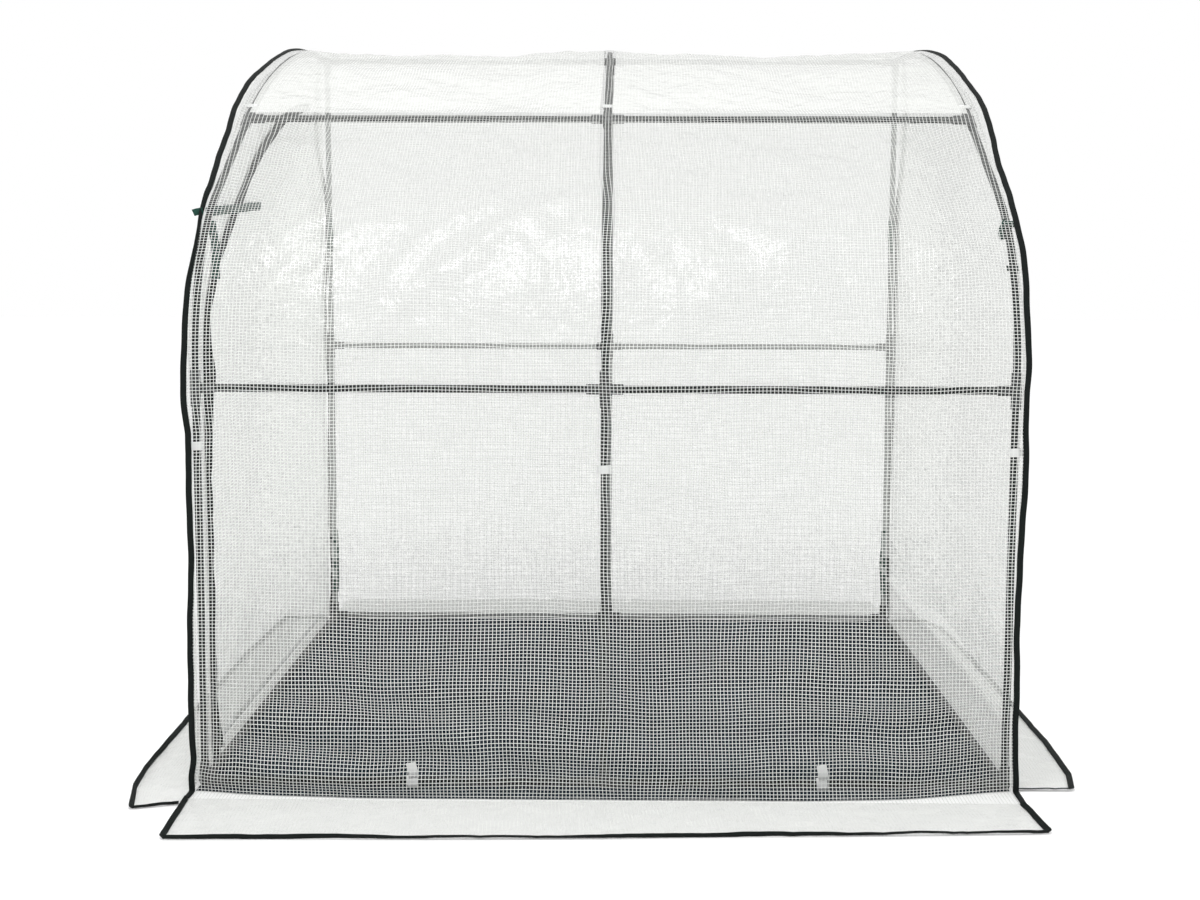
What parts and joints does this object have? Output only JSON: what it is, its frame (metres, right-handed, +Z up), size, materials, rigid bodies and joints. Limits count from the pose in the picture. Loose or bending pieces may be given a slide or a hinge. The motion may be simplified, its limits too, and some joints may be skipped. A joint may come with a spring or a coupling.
{
  "type": "greenhouse",
  "caption": "Walk-in greenhouse with a bowed front: dark steel tubes in plastic connectors under a clear grid-woven film cover with a zip door, ground skirts and a ground sheet.",
  "frame": {"origin": "on the ground, at the middle of the whole footprint including the skirts", "axes": "+X to the right seen from the front, +Y from the bowed front to the upright back, +Z up"},
  "size_m": [2.4, 2.68, 2.016],
  "materials": {
    "tube_paint": "satin powder coat, near black with a green cast",
    "connector_plastic": "moulded plastic, near black",
    "grid_film": "clear polyethylene film laminated on a white woven grid",
    "ground_weave": "matt woven tape, dark blue grey",
    "zip_plastic": "moulded plastic, near black",
    "binding_tape": "folded binding tape, near black",
    "tie_ribbon": "woven ribbon, dark green",
    "hook_strap": "hook and loop strap, white"
  },
  "bodies": {
    "house": {"rib_left_leg": "tube_paint", "rib_left_bow": "tube_paint", "rib_left_roof": "tube_paint", "rib_left_post_upper": "tube_paint", "rib_left_post_lower": "tube_paint", "rib_centre_leg": "tube_paint", "rib_centre_bow": "tube_paint", "rib_centre_roof": "tube_paint", "rib_centre_post_upper": "tube_paint", "rib_centre_post_lower": "tube_paint", "rib_right_leg": "tube_paint", "rib_right_bow": "tube_paint", "rib_right_roof": "tube_paint", "rib_right_post_upper": "tube_paint", "rib_right_post_lower": "tube_paint", "bar_foot_front_left": "tube_paint", "bar_foot_front_right": "tube_paint", "bar_mid_front_left": "tube_paint", "bar_mid_front_right": "tube_paint", "bar_upper_left": "tube_paint", "bar_upper_right": "tube_paint", "bar_top_back_left": "tube_paint", "bar_top_back_right": "tube_paint", "bar_mid_back_left": "tube_paint", "bar_mid_back_right": "tube_paint", "bar_foot_back_left": "tube_paint", "bar_foot_back_right": "tube_paint", "rail_ground_left": "tube_paint", "rail_ground_right": "tube_paint", "connector_left_foot_front": "connector_plastic", "connector_left_mid_front": "connector_plastic", "connector_left_upper": "connector_plastic", "connector_left_top_back": "connector_plastic", "connector_left_mid_back": "connector_plastic", "connector_left_foot_back": "connector_plastic", "connector_centre_foot_front": "connector_plastic", "connector_centre_mid_front": "connector_plastic", "connector_centre_upper": "connector_plastic", "connector_centre_top_back": "connector_plastic", "connector_centre_mid_back": "connector_plastic", "connector_centre_foot_back": "connector_plastic", "connector_right_foot_front": "connector_plastic", "connector_right_mid_front": "connector_plastic", "connector_right_upper": "connector_plastic", "connector_right_top_back": "connector_plastic", "connector_right_mid_back": "connector_plastic", "connector_right_foot_back": "connector_plastic", "cover_front": "grid_film", "cover_roof": "grid_film", "cover_back": "grid_film", "end_wall_left": "grid_film", "end_wall_right": "grid_film", "skirt_left": "grid_film", "ground_sheet": "ground_weave"},
    "door": {"door_panel": "grid_film"},
    "zip_slider_body": {"zip_slider": "zip_plastic"},
    "zip_pull_body": {"zip_pull": "zip_plastic"},
    "front_skirt": {"skirt_front": "grid_film"},
    "back_skirt": {"skirt_back": "grid_film"},
    "right_skirt": {"skirt_right": "grid_film"}
  },
  "joints": [
    {"name": "door_swing", "type": "hinge", "parent": "house", "child": "door", "pos_m": [-1.021, 0.7465, 0.9], "axis": [0, 0, -1], "range_deg": [0, 110]},
    {"name": "zip_slide", "type": "slide", "parent": "house", "child": "zip_slider_body", "axis": [0, 0, 1], "range_m": [0, 0.9]},
    {"name": "zip_pull_swing", "type": "hinge", "parent": "zip_slider_body", "child": "zip_pull_body", "pos_m": [-1.028, -0.803, 0.075], "axis": [0, 1, 0], "range_deg": [0, 160]},
    {"name": "skirt_front_fold", "type": "hinge", "parent": "house", "child": "front_skirt", "pos_m": [0, -1.084, 0.002], "axis": [-1, 0, 0], "range_deg": [0, 90]},
    {"name": "skirt_back_fold", "type": "hinge", "parent": "house", "child": "back_skirt", "pos_m": [0, 0.994, 0.002], "axis": [1, 0, 0], "range_deg": [0, 90]},
    {"name": "skirt_right_fold", "type": "hinge", "parent": "house", "child": "right_skirt", "pos_m": [1.024, 0, 0.002], "axis": [0, -1, 0], "range_deg": [0, 90]}
  ]
}
